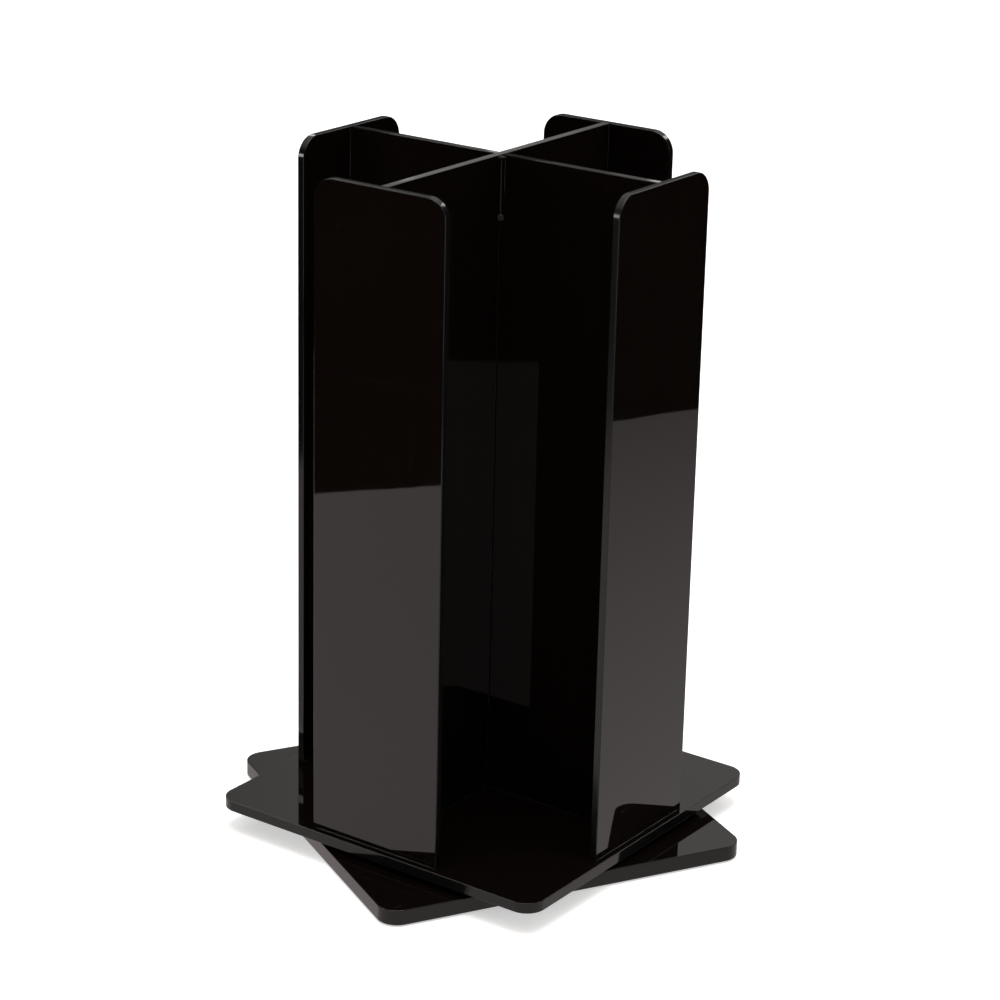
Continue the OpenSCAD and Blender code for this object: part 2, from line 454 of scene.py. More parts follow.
def nylon():
    k = Nodes("natural_nylon")
    obj = k.coords("Object")
    grain = k.noise(obj, 900, 3, 0.6)
    flow = k.noise(obj, 55, 3, 0.5, 0.8)
    c = k.mix(k.remap(flow, 0.35, 0.7, 0, 1), (0.78, 0.75, 0.67), (0.68, 0.64, 0.54))
    c = k.mix(k.remap(k.noise(obj, 130, 3, 0.6), 0.58, 0.72, 0, 0.6), c, (0.30, 0.25, 0.15))
    k.set(Base_Color=c, Roughness=k.remap(grain, 0.3, 0.7, 0.42, 0.6), Normal=k.bump(grain, 0.25, 0.00003), IOR=1.53,
          Subsurface_Weight=0.12, Subsurface_Scale=0.002)
    return k.mat


def rubber():
    k = Nodes("foot_rubber_matt")
    obj = k.coords("Object")
    grain = k.noise(obj, 1400, 3, 0.65)
    bloom = k.noise(obj, 150, 4, 0.6)
    c = k.mix(k.remap(bloom, 0.4, 0.75, 0, 1), (0.022, 0.022, 0.023), (0.055, 0.054, 0.052))
    k.set(Base_Color=c, Roughness=k.remap(grain, 0.3, 0.7, 0.72, 0.95), Normal=k.bump(grain, 0.5, 0.00005), IOR=1.5)
    return k.mat


M_FACE = acrylic_face()
M_EDGE = acrylic_edge()
M_SATIN = acrylic_edge("acrylic_edge_satin", 0.14, 0.24, 0.0055, 0.000005)
# rough sawn edge whose grey tint (0.068) is mostly painted sheen: it brightens the front-back divider's top edges,
# which are lit by reflected light
M_SAWN_PAINTED_SHEEN = acrylic_edge("acrylic_edge_sawn_painted_sheen", 0.30, 0.46, 0.068, 0.000008)
M_WELD = acrylic_weld()
# paler cement whose light colour is painted highlight at the dividers' crossing
M_WELD_PAINTED_HIGHLIGHT = acrylic_weld("acrylic_weld_painted_highlight", (0.015, 0.013, 0.012), (0.062, 0.056, 0.052), 0.28, 0.42)
M_PLATE = steel("zinc_plate", (0.60, 0.60, 0.58), 0.34, ring_scale=9000)
M_SCREW = steel("zinc_screw", (0.62, 0.62, 0.60), 0.26)
M_RIVET = steel("turned_rivet", (0.52, 0.52, 0.50), 0.30, ring_scale=14000)
M_BALL = steel("chrome_ball", (0.68, 0.68, 0.69), 0.07, mottled=0.15, grease=True)
M_CAGE = nylon()
M_FOOT = rubber()

SHEET = [M_FACE, M_EDGE]
SHEET_SATIN = [M_FACE, M_SATIN]
SHEET_SAWN_PAINTED_SHEEN = [M_FACE, M_SAWN_PAINTED_SHEEN]
made = []


def place_piece(ob, body, slot, *nodes):
    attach(ob, body)
    if nodes:
        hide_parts(*nodes)
    made.append(ob)
    return ob


# ---------------------------------------------------------------- plates


def rot2(p, a):
    c, s = math.cos(a), math.sin(a)
    return Vector((c * p[0] - s * p[1], s * p[0] + c * p[1]))


def on_circle(r, a):
    return (r * math.cos(a), r * math.sin(a))


ARRIS = 0.5 * MM


def base_plate():
    b = Build()
    z_low = Z_B1 - RECESS
    outer = b.arris(rounded_square(SIDE, PLATE_R, 20, SKEW), Z_B0, Z_B1, ARRIS)
    b.walls(outer)
    c = 0.2 * MM
    holes_low, holes_mid = [], []
    # room for the rivet's head
    rings = b.arris(circle(HEAD_HOLE_R, 96), Z_B0, z_low, c, hole=True)
    b.walls(rings)
    holes_low.append(rings[0])
    holes_mid.append(rings[-1])
    # driver hole
    rings = b.arris(circle(4.5 * MM, 64, on_circle(SCREW_C, SKEW)), Z_B0, z_low, c, hole=True)
    b.walls(rings)
    holes_low.append(rings[0])
    holes_mid.append(rings[-1])
    # countersunk holes
    for i in range(4):
        at = on_circle(SCREW_C, SKEW + math.pi / 4 + i * math.pi / 2)
        prof = [(2.92, Z_B0), (2.86, Z_B0 + 0.05 * MM), (1.70, Z_B0 + 1.20 * MM), (1.70, z_low - 0.15 * MM), (1.85, z_low)]
        rings = [b.ring(circle(r * MM, 48, at), h) for r, h in prof]
        b.walls(rings)
        holes_low.append(rings[0])
        holes_mid.append(rings[-1])
    # recess for the bearing
    rim = [b.ring(circle(RECESS_R + c * (1 - math.sin(a)), 128), Z_B1 - c * (1 - math.cos(a)))
           for a in (0, math.pi / 4, math.pi / 2)]
    rim.append(b.ring(circle(RECESS_R, 128), z_low))
    b.walls(rim)
    b.cap([outer[0]] + holes_low)
    b.cap([outer[-1], rim[0]])
    b.cap([rim[-1]] + holes_mid)
    return b.finish("base_plate_sheet", SHEET)


def turntable_plate():
    b = Build()
    z_up = Z_T0 + RECESS
    z_pocket = z_up + 1.3 * MM
    outer = b.arris(rounded_square(SIDE, PLATE_R, 20), Z_T0, Z_T1, 0.3 * MM)
    b.walls(outer)
    c = 0.2 * MM
    rim = [b.ring(circle(RECESS_R + c * (1 - math.sin(a)), 128), Z_T0 + c * (1 - math.cos(a)))
           for a in (0, math.pi / 4, math.pi / 2)]
    rim.append(b.ring(circle(RECESS_R, 128), z_up))
    b.walls(rim)
    pocket = [b.ring(circle(HEAD_HOLE_R, 96), z_up), b.ring(circle(HEAD_HOLE_R, 96), z_pocket)]
    b.walls(pocket)
    holes = [pocket[0]]
    for i in range(4):
        at = on_circle(SCREW_C, i * math.pi / 2)
        rings = [b.ring(circle(r * MM, 48, at), h) for r, h in
                 ((1.70, z_up), (1.55, z_up + 0.15 * MM), (1.55, Z_T1 - 1.2 * MM), (0.02, Z_T1 - 0.95 * MM))]
        b.walls(rings)
        b.cap([rings[-1]], mat=1)
        holes.append(rings[0])
    b.cap([outer[-1]])
    b.cap([outer[0], rim[0]])
    b.cap([rim[-1]] + holes)
    b.cap([pocket[-1]])
    return b.finish("turntable_plate_sheet", SHEET)


place_piece(smooth_sheet(base_plate()), "base", "black_acrylic", "base_plate")
place_piece(smooth_sheet(turntable_plate()), "turntable", "black_acrylic", "turntable_plate")

# ---------------------------------------------------------------- dividers

fb_lo, fb_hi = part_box("front_back_divider")
lr_lo, lr_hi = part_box("left_right_divider")
lr_z, lr_x = levels("left_right_divider", 2), levels("left_right_divider", 0)
fb_z, fb_y = levels("front_back_divider", 2), levels("front_back_divider", 1)
half_slot = min(x for x in lr_x if x > 1e-4)
half_relief = min(x for x in lr_x if x > half_slot + 1e-4)
z_relief, z_slot = lr_z[1], lr_z[2]
fb_half_slot = min(y for y in fb_y if y > 1e-4)
fb_slot_top = fb_z[1]


def front_back_divider():
    y0, y1, z0, z1 = fb_lo.y, fb_hi.y, fb_lo.z, fb_hi.z
    s, zs = fb_half_slot, fb_slot_top
    pts = [(y0, z0), (-s, z0), (-s, zs), (s, zs), (s, z0), (y1, z0), (y1, z1), (y0, z1)]
    pts = subdivide([Vector(p) for p in pts], 0.03)
    return prism("front_back_divider_sheet", pts, fb_lo.x, fb_hi.x, lambda u, v, h: Vector((h, u, v)), SHEET_SAWN_PAINTED_SHEEN, c=0.35 * MM)


def left_right_divider():
    x0, x1, z0, z1 = lr_lo.x, lr_hi.x, lr_lo.z, lr_hi.z
    s, q = half_slot, half_relief
    pts = [(x0, z0), (x1, z0), (x1, z1), (s, z1), (s, z_slot), (q, z_slot), (q, z_relief),
           (-q, z_relief), (-q, z_slot), (-s, z_slot), (-s, z1), (x0, z1)]
    pts = subdivide([Vector(p) for p in pts], 0.03)
    return prism("left_right_divider_sheet", pts, lr_lo.y, lr_hi.y, lambda u, v, h: Vector((u, h, v)), SHEET_SATIN, c=0.4 * MM)


place_piece(smooth_sheet(front_back_divider()), "turntable", "black_acrylic", "front_back_divider")
place_piece(smooth_sheet(left_right_divider()), "turntable", "black_acrylic", "left_right_divider")

# ---------------------------------------------------------------- end panels

PANEL_R = 12.7 * MM


def panel_outline(w, z0, z1, r, n=24):
    pts = [Vector((-w / 2, z0)), Vector((w / 2, z0))]
    for i in range(n + 1):
        a = math.pi / 2 * i / n
        pts.append(Vector((w / 2 - r + r * math.cos(a), z1 - r + r * math.sin(a))))
    for i in range(n + 1):
        a = math.pi / 2 + math.pi / 2 * i / n
        pts.append(Vector((-w / 2 + r + r * math.cos(a), z1 - r + r * math.sin(a))))
    return subdivide(pts, 0.03)


def end_panel(node):
    lo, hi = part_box(node)
    size = hi - lo
    if size.x > size.y:
        place, h0, h1, w = (lambda u, v, h: Vector((u, h, v))), lo.y, hi.y, size.x
    else:
        place, h0, h1, w = (lambda u, v, h: Vector((h, u, v))), lo.x, hi.x, size.y
    return prism(node + "_sheet", panel_outline(w, lo.z, hi.z, PANEL_R), h0, h1, place, SHEET_SATIN if node == "right_panel" else SHEET, c=ARRIS)


for node in ("front_panel", "right_panel", "rear_panel", "left_panel"):
    place_piece(smooth_sheet(end_panel(node)), "turntable", "black_acrylic", node)

# ---------------------------------------------------------------- solvent-cement fillets


def bead(b, a, e, out, up, w=0.5 * MM, seed=0.0, grow=0.10 * MM, ends=1.5 * MM, mat=0, uneven=1.0):
    """A thin concave fillet along the line a-e, in the corner between two faces that lead off along out and up."""
    a, e, out, up = Vector(a), Vector(e), Vector(out), Vector(up)
    d = e - a
    steps = max(6, int(d.length / (3 * MM)))
    rows = []
    for i in range(steps + 1):
        t = i / steps
        p = a + d * t
        k = noise.noise(Vector((seed * 7.3, t * d.length * 40, 0.3))) * 0.35
        k += noise.noise(Vector((seed * 3.1, t * d.length * 160, 1.7))) * 0.12
        r = w * (1 + k * uneven)
        r *= min(1.0, 0.35 + min(t, 1 - t) * d.length / ends)
        prof = [(-grow, -grow), (r, -grow * 0.5)]
        for j in range(6):
            g = math.radians(-90 - 18 * j)
            prof.append((r + r * math.cos(g), r + r * math.sin(g)))
        prof.append((-grow * 0.5, r))
        rows.append([b.bm.verts.new(p + out * x + up * y) for x, y in prof])
    n = len(rows[0])
    for i, (ra, rb) in enumerate(zip(rows, rows[1:])):
        for j in range(n):
            f = b.bm.faces.new((ra[j], ra[(j + 1) % n], rb[(j + 1) % n], rb[j]))
            f.smooth = True
            f.material_index = mat
            for loop, uv in zip(f.loops, ((i, j), (i, j + 1), (i + 1, j + 1), (i + 1, j))):
                loop[b.uv].uv = (uv[0] * 0.03, uv[1] * 0.002)
    b.bm.faces.new(rows[0]).material_index = mat
    b.bm.faces.new(list(reversed(rows[-1]))).material_index = mat


def weld_beads():
    b = Build()
    half = (fb_hi.x - fb_lo.x) / 2
    inner = fb_hi.y
    start = half + 1.2 * MM
    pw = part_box("front_panel")[1].x
    outer = -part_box("front_panel")[0].y
    seed = 1.0
    for q in range(4):
        turn = Matrix.Rotation(q * math.pi / 2, 4, "Z")

        def at(x, y, z):
            return turn @ Vector((x, y, z))

        def way(x, y, z=0.0):
            return turn.to_3x3() @ Vector((x, y, z))

        up = Vector((0, 0, 1))
        for s in (-1, 1):
            seed += 1
            # divider on the turntable plate
            bead(b, at(start, s * half, Z_T1), at(inner, s * half, Z_T1), way(0, s), up, 0.32 * MM, seed)
            seed += 1
            # divider against the end panel
            bead(b, at(inner, s * half, Z_T1 + 0.3 * MM), at(inner, s * half, Z_TOP - 1.0 * MM), way(0, s), way(-1, 0), 0.15 * MM, seed)
            seed += 1
            # end panel on the turntable plate, inside
            bead(b, at(inner, s * (half + 0.3 * MM), Z_T1), at(inner, s * (pw - 0.6 * MM), Z_T1), way(-1, 0), up, 0.34 * MM, seed)
        seed += 1
        # end panel on the turntable plate, outside
        bead(b, at(outer, -pw + 0.6 * MM, Z_T1), at(outer, pw - 0.6 * MM, Z_T1), way(1, 0), up, 0.18 * MM, seed)
        # cement in the crossing's corners and in the short slot's play, in a paler colour that is painted highlight: it
        # draws the glints along the slot's edges and at the crossing's top
        x, y = way(1, 0), way(0, -1)
        corner = lambda z: at(half, -half, z)
        bead(b, corner(z_slot - 0.2 * MM), corner(Z_TOP - 0.5 * MM), x, y, 0.46 * MM, seed + 0.3, mat=1, uneven=0.5)
        bead(b, corner(z_relief + 0.05 * MM), corner(z_slot), x, y, 2.3 * MM, seed + 0.5, ends=0.35 * MM, mat=1, uneven=0.3)
        bead(b, corner(Z_TOP - 2.3 * MM), corner(Z_TOP - 0.9 * MM), x, y, 3.4 * MM, seed + 0.7, ends=0.5 * MM, mat=1, uneven=0.4)
        for z0, z1 in ((Z_TOP - 22 * MM, Z_TOP - 3 * MM),):       # two thin pale beads down the sheet beside the crossing: painted highlight lines drawn in cement
            bead(b, at(half + 2.6 * MM, -half, z0), at(half + 2.6 * MM, -half, z1), x, y, 0.22 * MM, seed + 0.9, mat=1)
            bead(b, at(half + 2.6 * MM, -half, z0), at(half + 2.6 * MM, -half, z1), -x, y, 0.22 * MM, seed + 0.9, mat=1)
    bmesh.ops.recalc_face_normals(b.bm, faces=b.bm.faces)
    return new_object("solvent_weld_fillets", b.bm, [M_WELD, M_WELD_PAINTED_HIGHLIGHT])


place_piece(weld_beads(), "turntable", "black_acrylic")

# ---------------------------------------------------------------- feet


def foot(node):
    lo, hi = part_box(node)
    c, r, h = ((lo + hi) / 2), (hi.x - lo.x) / 2, hi.z - lo.z
    b = Build()
    n = 72
    prof = [(0.2 * MM, 0.25 * MM), (1.4 * MM, 0.24 * MM), (2.2 * MM, 0.05 * MM)]
    # three raised rings that grip the table
    for k in range(3):
        x = 2.5 * MM + k * 1.35 * MM
        prof += [(x, 0.0), (x + 0.55 * MM, 0.0), (x + 0.75 * MM, 0.22 * MM), (x + 1.1 * MM, 0.22 * MM)]
    prof += [(6.35 * MM, 0.04 * MM), (6.5 * MM, 0.0)]
    for a in range(0, 91, 15):
        t = math.radians(a)
        prof.append((r - 0.5 * MM + 0.5 * MM * math.sin(t), 0.5 * MM - 0.5 * MM * math.cos(t)))
    prof += [(r, h - 0.12 * MM), (r - 0.12 * MM, h), (0.2 * MM, h)]
    rings = [b.ring(circle(x, n, (c.x, c.y)), lo.z + z) for x, z in prof]
    b.walls(rings, 0)
    b.cap([rings[0]], 0)
    b.cap([rings[-1]], 0)
    ob = b.finish(node + "_rubber", [M_FOOT])
    return smooth_sheet(ob)


for node in ("left_foot", "front_foot", "right_foot", "rear_foot"):
    place_piece(foot(node), "base", "foot_rubber", node)

# ---------------------------------------------------------------- bearing

Z_LOW = Z_B1 - RECESS
Z_UP = Z_T0 + RECESS
PLATE_T = 1.5 * MM
BEAR_R = 48 * MM
BALL_C = 30 * MM
Z_BALL = (Z_LOW + Z_UP) / 2
GROOVE = 2.55 * MM


def bearing_plate(name, z_back, way, bore, screw_r, turn, access):
    """Pressed disc. z_back lies on the acrylic, and the face towards the balls looks along way (+1 up, -1 down)."""
    b = Build()
    n = 144
    z_face = z_back + way * PLATE_T
    depth = abs(z_face - Z_BALL)
    w = math.sqrt(GROOVE ** 2 - depth ** 2)
    c = 0.25 * MM

    def r_(x, z):
        return b.ring(circle(x, n), z)

    # outer edge with a rolled-over lip towards the balls
    rim = [r_(BEAR_R - c, z_back), r_(BEAR_R - 0.07 * MM, z_back + way * 0.08 * MM), r_(BEAR_R, z_back + way * c),
           r_(BEAR_R, z_face - way * c), r_(BEAR_R - 0.07 * MM, z_face - way * 0.08 * MM), r_(BEAR_R - c, z_face)]
    b.walls(rim, 0)
    # pressed groove that the balls run in
    g = []
    for i in range(13):
        t = -1 + 2 * i / 12
        x = w * t
        z = Z_BALL - way * math.sqrt(GROOVE ** 2 - x * x)
        g.append(r_(BALL_C - x, z if 0 < i < 12 else z_face))
    b.walls(g, 0)
    hub = [r_(bore + c, z_face), r_(bore, z_face - way * c), r_(bore, z_back + way * c), r_(bore + c, z_back)]
    b.walls(hub, 0)
    front, back = [], []
    for i in range(4):
        at = on_circle(SCREW_C, turn + (math.pi / 4 if access else 0) + i * math.pi / 2)
        rings = [b.ring(circle(x, 48, at), z) for x, z in
                 ((screw_r + 0.12 * MM, z_face), (screw_r, z_face - way * 0.12 * MM), (screw_r, z_back + way * 0.12 * MM), (screw_r + 0.12 * MM, z_back))]
        b.walls(rings, 0)
        front.append(rings[0])
        back.append(rings[-1])
    if access:
        at = on_circle(SCREW_C, turn)
        rings = [b.ring(circle(x, 64, at), z) for x, z in
                 ((4.2 * MM, z_face), (4.0 * MM, z_face - way * 0.2 * MM), (4.0 * MM, z_back + way * 0.2 * MM), (4.2 * MM, z_back))]
        b.walls(rings, 0)
        front.append(rings[0])
        back.append(rings[-1])
    b.cap([rim[-1], g[0]] + front, 0)
    b.cap([g[-1], hub[0]], 0)
    b.cap([rim[0], hub[-1]] + back, 0)
    return smooth_sheet(b.finish(name, [M_PLATE]))


place_piece(bearing_plate("bearing_lower_plate_pressed", Z_LOW, 1, 6.0 * MM, 1.55 * MM, SKEW, True), "base", "bearing_steel", "bearing_lower_plate")
place_piece(bearing_plate("bearing_upper_plate_pressed", Z_UP, -1, 6.05 * MM, 1.7 * MM, 0.0, False), "turntable", "bearing_steel", "bearing_upper_plate")


def rivet():
    """Hollow rivet with rolled heads, a shouldered seat and a turned spindle."""
    b = Build()
    r, head = 6 * MM, 9 * MM
    z1 = Z_LOW + PLATE_T
    z2 = Z_UP - PLATE_T - 0.1 * MM
    z3 = Z_UP + 0.1 * MM
    lo, hi = Z_LOW - 0.8 * MM, z3 + 0.8 * MM
    prof = [(4.35 * MM, lo), (head - 0.45 * MM, lo), (head - 0.15 * MM, lo + 0.1 * MM), (head, lo + 0.32 * MM), (head, Z_LOW),
            (r, Z_LOW), (r, z1), (7.45 * MM, z1), (7.6 * MM, z1 + 0.15 * MM), (7.6 * MM, z2 - 0.15 * MM), (7.45 * MM, z2), (r, z2), (r, z3),
            (head, z3), (head, z3 + 0.48 * MM), (head - 0.15 * MM, hi - 0.1 * MM), (head - 0.45 * MM, hi), (4.35 * MM, hi),
            (4.1 * MM, hi - 0.1 * MM), (4.0 * MM, hi - 0.35 * MM), (4.0 * MM, lo + 0.35 * MM), (4.1 * MM, lo + 0.1 * MM)]
    lathe(prof, 128, b)
    return smooth_sheet(b.finish("bearing_rivet_turned", [M_RIVET]))


place_piece(rivet(), "base", "rivet_steel", "bearing_rivet")


def cage():
    holes = [circle(25 * MM, 128)]
    for i in range(16):
        holes.append(circle(2.58 * MM, 40, on_circle(BALL_C, i * math.pi / 8)))
    ob = prism("bearing_cage_moulded", circle(35 * MM, 160), Z_BALL - 0.8 * MM, Z_BALL + 0.8 * MM,
               lambda u, v, h: Vector((u, v, h)), [M_CAGE, M_CAGE], c=0.3 * MM, holes=holes, hole_c=0.22 * MM)
    return smooth_sheet(ob)


def balls():
    bm = bmesh.new()
    for i in range(16):
        x, y = on_circle(BALL_C, i * math.pi / 8)
        bmesh.ops.create_icosphere(bm, subdivisions=4, radius=2.5 * MM, matrix=Matrix.Translation((x, y, Z_BALL)))
    ob = new_object("bearing_balls_polished", bm, [M_BALL])
    for p in ob.data.polygons:
        p.use_smooth = True
    return ob


place_piece(cage(), "ball_set", "cage_nylon", "bearing_cage")
place_piece(balls(), "ball_set", "ball_steel", "bearing_balls")

# ---------------------------------------------------------------- screws


def cross(arm, wide, at, turn=0.0):
    """Outline of a cross-shaped driver recess with slightly flared arms."""
    pts = []
    for k in range(4):
        for x, y in ((wide, -wide), (arm, -wide * 0.8), (arm + 0.08 * MM, 0), (arm, wide * 0.8)):
            p = rot2((x, y), k * math.pi / 2 + turn)
            pts.append(Vector((p.x + at[0], p.y + at[1])))
    return pts


def screw(b, at, z_face, way, head, z_tip, pitch=0.7 * MM):
    """One screw. head is a list of (radius, distance from the driven face); way is the direction of the tip."""
    n = 40
    face = b.ring(circle(head[0][0], n, at), z_face)
    rec = [b.ring(cross(1.25 * MM, 0.28 * MM, at), z_face), b.ring(cross(0.95 * MM, 0.2 * MM, at), z_face + way * 0.55 * MM),
           b.ring(cross(0.55 * MM, 0.14 * MM, at), z_face + way * 0.68 * MM)]
    b.walls(rec, 0)
    b.cap([rec[-1]], 0)
    b.cap([face, rec[0]], 0)
    rings = [face] + [b.ring(circle(r, n, at), z_face + way * d) for r, d in head[1:]]
    # thread
    z0 = z_face + way * (head[-1][1] + 0.15 * MM)
    length = abs(z_tip - z0)
    steps = int(length / (pitch / 8))
    major, minor = 1.48 * MM, 1.13 * MM
    for i in range(steps + 1):
        d = length * i / steps
        pts = []
        for j in range(n):
            a = 2 * math.pi * j / n
            ph = (d / pitch - way * j / n) % 1.0
            f = max(0.0, min(1.0, 1.9 - abs(ph - 0.5) * 5.2))
            taper = min(1.0, (length - d) / (0.5 * MM)) * min(1.0, d / (0.3 * MM) + 0.3)
            r = minor + (major - minor) * f * taper - (0.25 * MM if length - d < 0.05 * MM else 0.0)
            pts.append((at[0] + r * math.cos(a), at[1] + r * math.sin(a)))
        rings.append(b.ring(pts, z0 + way * d))
    b.walls(rings, 0)
    b.cap([rings[-1]], 0)


def screws(name, zs, way, head, z_tip, turn):
    b = Build()
    for i in range(4):
        at = on_circle(SCREW_C, turn + i * math.pi / 2)
        screw(b, at, zs, way, head, z_tip)
    ob = b.finish(name, [M_SCREW])
    return smooth_sheet(ob)


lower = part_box("lower_screws")
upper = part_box("upper_screws")
csk = [(2.70 * MM, 0), (2.78 * MM, 0.06 * MM), (1.55 * MM, 1.27 * MM), (1.2 * MM, 1.5 * MM)]
pan = [(2.0 * MM, 0), (2.32 * MM, 0.1 * MM), (2.62 * MM, 0.3 * MM), (2.78 * MM, 0.62 * MM), (2.8 * MM, 1.42 * MM), (2.74 * MM, 1.5 * MM), (1.35 * MM, 1.5 * MM)]
place_piece(screws("lower_screws_threaded", lower[0].z, 1, csk, lower[1].z, SKEW + math.pi / 4), "base", "screw_steel", "lower_screws")
place_piece(screws("upper_screws_threaded", upper[0].z, 1, pan, upper[1].z, 0.0), "turntable", "screw_steel", "upper_screws")

# the hidden CAD solids carry the same finishes as the pieces that stand for them
for node, mat in (("base_plate", M_FACE), ("turntable_plate", M_FACE), ("front_back_divider", M_FACE), ("left_right_divider", M_FACE),
                  ("front_panel", M_FACE), ("right_panel", M_FACE), ("rear_panel", M_FACE), ("left_panel", M_FACE),
                  ("left_foot", M_FOOT), ("front_foot", M_FOOT), ("right_foot", M_FOOT), ("rear_foot", M_FOOT),
                  ("bearing_lower_plate", M_PLATE), ("bearing_upper_plate", M_PLATE), ("bearing_rivet", M_RIVET),
                  ("bearing_cage", M_CAGE), ("bearing_balls", M_BALL), ("lower_screws", M_SCREW), ("upper_screws", M_SCREW)):
    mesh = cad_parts[node].data
    mesh.materials.clear()
    mesh.materials.append(mat)

# ---------------------------------------------------------------- stage: floor, reflected table, room


def stage_mesh(name, verts, material):
    bm = bmesh.new()
    bm.faces.new([bm.verts.new(v) for v in verts])
    ob = new_object(name, bm, [material])
    return ob


def only_seen_by(ob, camera=False, diffuse=False, glossy=False, shadow=False):
    ob.visible_camera, ob.visible_diffuse, ob.visible_glossy = camera, diffuse, glossy
    ob.visible_transmission = camera
    ob.visible_volume_scatter = False
    ob.visible_shadow = shadow


k = Nodes("floor_paint")
k.set(Base_Color=(0.92, 0.92, 0.915), Roughness=0.9)
k.bsdf.inputs["Specular IOR Level"].default_value = 0.0
k.bsdf.inputs["Emission Color"].default_value = (1, 1, 1, 1)
k.bsdf.inputs["Emission Strength"].default_value = 0.5
side = k.add("ShaderNodeNewGeometry")          # the floor is see-through from below
clear = k.add("ShaderNodeBsdfTransparent")
both = k.add("ShaderNodeMixShader")
k.link(side.outputs["Backfacing"], both.inputs[0])
k.link(k.bsdf.outputs[0], both.inputs[1])
k.link(clear.outputs[0], both.inputs[2])
k.link(both.outputs[0], k.out.inputs[0])
floor = stage_mesh("floor", [(-9, -9, 0), (9, -9, 0), (9, 9, 0), (-9, 9, 0)], k.mat)
only_seen_by(floor, camera=True, diffuse=True, shadow=True)


def half_plane_cut(poly, n, d):
    """Keeps the part of a convex polygon where p.n <= d."""
    out = []
    for i, p in enumerate(poly):
        q = poly[(i + 1) % len(poly)]
        a, b_ = p.dot(n) - d, q.dot(n) - d
        if a <= 0:
            out.append(p)
        if a * b_ < 0:
            out.append(p + (q - p) * (a / (a - b_)))
    return out


table = [Vector(p) for p in ((-3, -3), (3, -3), (3, 3), (-3, 3))]
for n, d in (((-0.771, -0.637), 0.729), ((0.8978, 0.4405), 0.831), ((-0.60, 0.80), 0.95), ((0.60, -0.80), 0.95)):
    table = half_plane_cut(table, Vector(n), d)
glow = bpy.data.materials.new("table_glow")
glow.use_nodes = True
nt = glow.node_tree
nt.nodes.clear()
em, om = nt.nodes.new("ShaderNodeEmission"), nt.nodes.new("ShaderNodeOutputMaterial")
em.inputs["Color"].default_value = (1.0, 0.90, 0.885, 1)
nt.links.new(em.outputs[0], om.inputs[0])


def gnode(kind, a, b=None, **props):
    """A maths node of the stage's own tree."""
    n = nt.nodes.new(kind)
    for key, v in props.items():
        setattr(n, key, v)
    for i, x in enumerate((a, b)):
        if x is None:
            continue
        if isinstance(x, (int, float)):
            n.inputs[i].default_value = x
        elif isinstance(x, tuple):
            n.inputs[i].default_value = x
        else:
            nt.links.new(x, n.inputs[i])
    return n


def ramp_between(x, x0, x1, y0, y1):
    n = nt.nodes.new("ShaderNodeMapRange")
    n.interpolation_type = "SMOOTHSTEP"
    nt.links.new(x, n.inputs[0])
    for i, v in zip((1, 2, 3, 4), (x0, x1, y0, y1)):
        n.inputs[i].default_value = v
    return n.outputs[0]


def along(x, direction):
    return gnode("ShaderNodeVectorMath", x, direction, operation="DOT_PRODUCT").outputs["Value"]


here = nt.nodes.new("ShaderNodeNewGeometry").outputs["Position"]
away = gnode("ShaderNodeMapRange", along(here, (0.575, 0.815, 0.0)))               # dimmer to the right rear
for i, v in zip((1, 2, 3, 4), (-0.2, 0.95, 0.89, 0.34)):
    away.inputs[i].default_value = v
away = away.outputs[0]
nt.links.new(away, em.inputs["Strength"])
covered = rounded_square(SIDE - 6 * MM, PLATE_R, 12, SKEW)      # the base plate shades the table there
b = Build()
b.cap([b.ring(table, -0.0004), b.ring(covered, -0.0004)])
card = b.finish("table_card", [glow])
only_seen_by(card, glossy=True)


def plain_glow(name, colour, strength):
    mat = bpy.data.materials.new(name)
    mat.use_nodes = True
    tree = mat.node_tree
    tree.nodes.clear()
    e, o = tree.nodes.new("ShaderNodeEmission"), tree.nodes.new("ShaderNodeOutputMaterial")
    e.inputs["Color"].default_value = (*colour, 1)
    e.inputs["Strength"].default_value = strength
    tree.links.new(e.outputs[0], o.inputs[0])
    return mat


shade = stage_mesh("table_card_shaded", [(p.x, p.y, -0.0004) for p in covered], plain_glow("shaded_table", (1.0, 0.96, 0.94), 0.30))
only_seen_by(shade, glossy=True)

# white reflector board in front, out of the picture: it draws the thin light lines on the upright arrises
board_mat = plain_glow("reflector_board", (1.0, 0.95, 0.93), 2.5)
a = math.radians(275)
mid, wide = Vector((math.cos(a), math.sin(a), 0)) * 1.15, Vector((-math.sin(a), math.cos(a), 0)) * 0.30
board = stage_mesh("reflector_board", [mid - wide, mid + wide, mid + wide + Vector((0, 0, 0.33)), mid - wide + Vector((0, 0, 0.33))], board_mat)
only_seen_by(board, glossy=True)

world = bpy.data.worlds.new("studio")
scene.world = world
world.use_nodes = True
nt = world.node_tree
nt.nodes.clear()
tc = nt.nodes.new("ShaderNodeTexCoord")
sx = nt.nodes.new("ShaderNodeSeparateXYZ")
nt.links.new(tc.outputs["Generated"], sx.inputs[0])
mr = nt.nodes.new("ShaderNodeMapRange")
mr.inputs[1].default_value, mr.inputs[2].default_value = -0.1, 1.0
nt.links.new(sx.outputs[2], mr.inputs[0])
ramp = nt.nodes.new("ShaderNodeValToRGB")
nt.links.new(mr.outputs[0], ramp.inputs[0])
stops = [(-0.10, 0.003), (-0.005, 0.004), (0.03, 0.04), (0.14, 0.08), (0.23, 0.12), (0.34, 0.37), (0.44, 0.56), (0.65, 0.8), (1.0, 1.0)]
while len(ramp.color_ramp.elements) < len(stops):
    ramp.color_ramp.elements.new(0.5)
